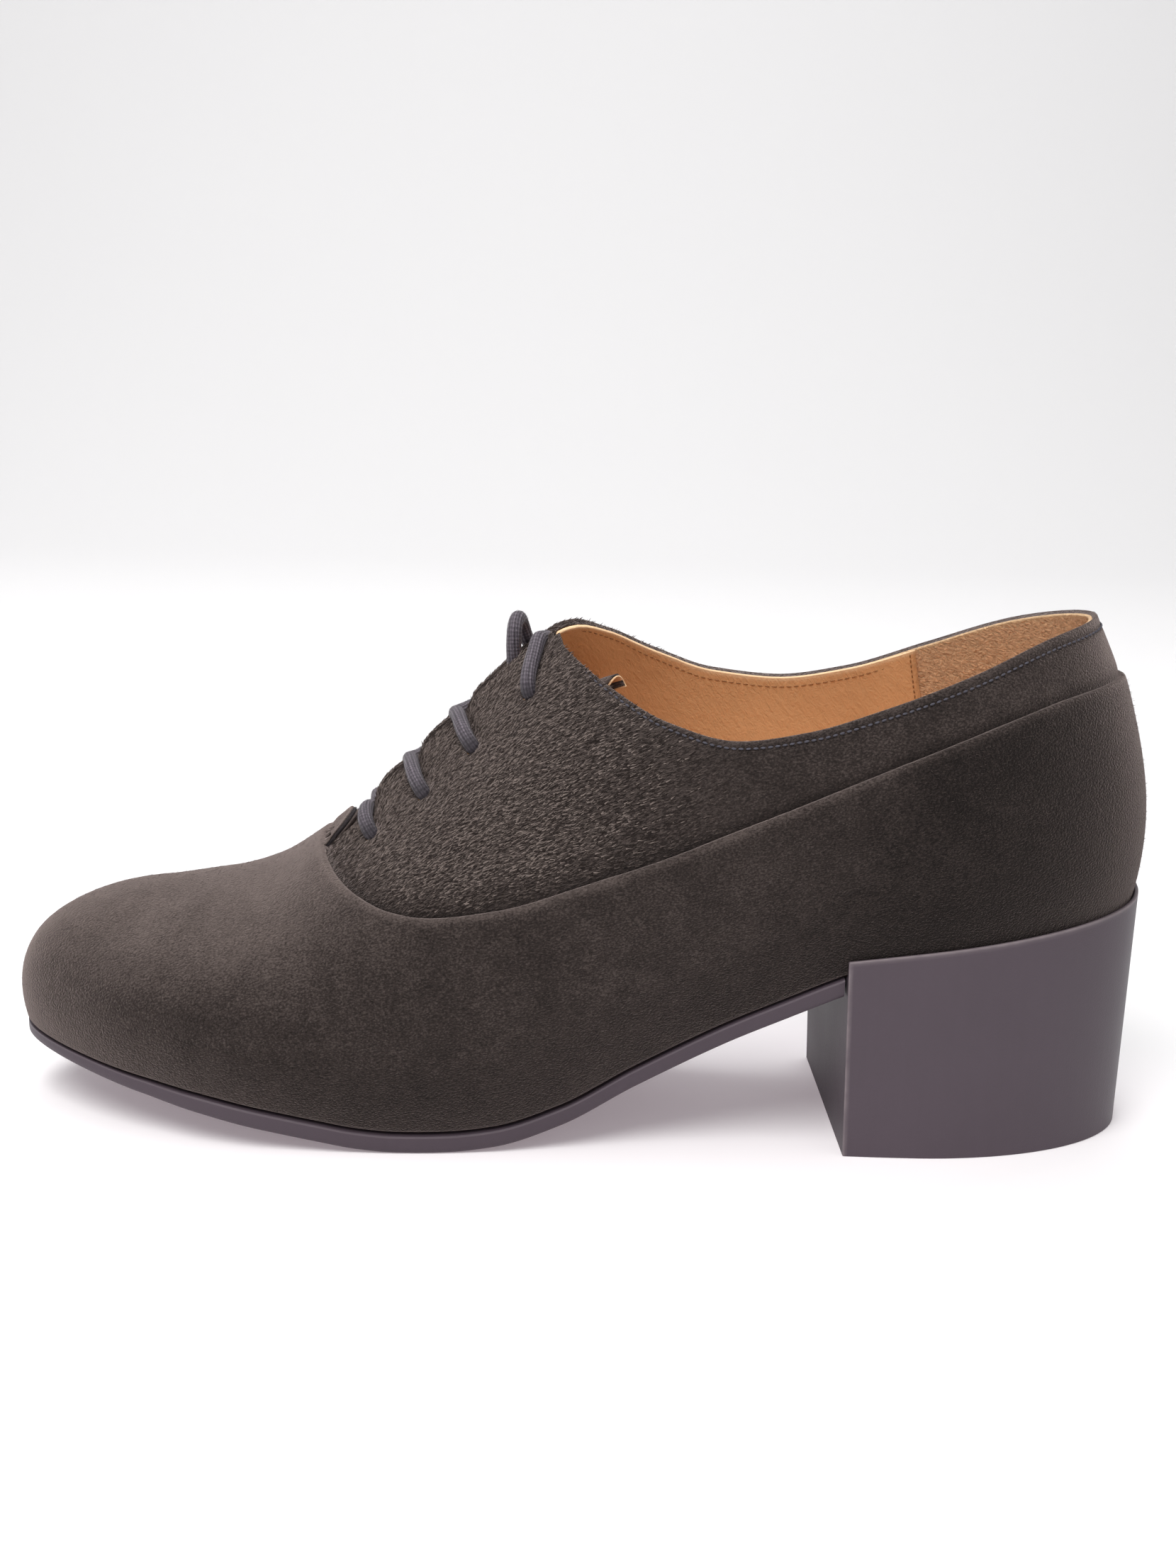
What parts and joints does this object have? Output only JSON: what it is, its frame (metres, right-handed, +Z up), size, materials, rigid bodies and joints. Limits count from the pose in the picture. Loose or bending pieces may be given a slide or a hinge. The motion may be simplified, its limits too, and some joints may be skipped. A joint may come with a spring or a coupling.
{
  "type": "lace-up shoe",
  "caption": "Left closed-lacing suede shoe on a high block heel, with a galosh panel, short tongue, throat tab and a round cord lace through punched holes; stands empty on heel and ball.",
  "frame": {"origin": "floor level under the middle of the shoe's box, where the shoe stands on its heel and ball", "axes": "+X towards the heel along the foot, toe at -X; -Y is the outer (lateral) side, +Y the inner (medial) side; +Z up"},
  "size_m": [0.2509, 0.082, 0.1155],
  "materials": {
    "suede": "matte napped",
    "lining_leather": "satin",
    "sole_rubber": "matte",
    "lace_cotton": "waxed braid"
  },
  "bodies": {
    "root": {"upper": "suede", "tongue": "suede", "throat_tab": "suede", "insole": "lining_leather", "outsole": "sole_rubber", "heel": "sole_rubber", "lace_bar_1": "lace_cotton", "lace_bar_2": "lace_cotton", "lace_bar_3": "lace_cotton", "lace_end_lateral": "lace_cotton", "lace_end_medial": "lace_cotton"}
  },
  "joints": []
}
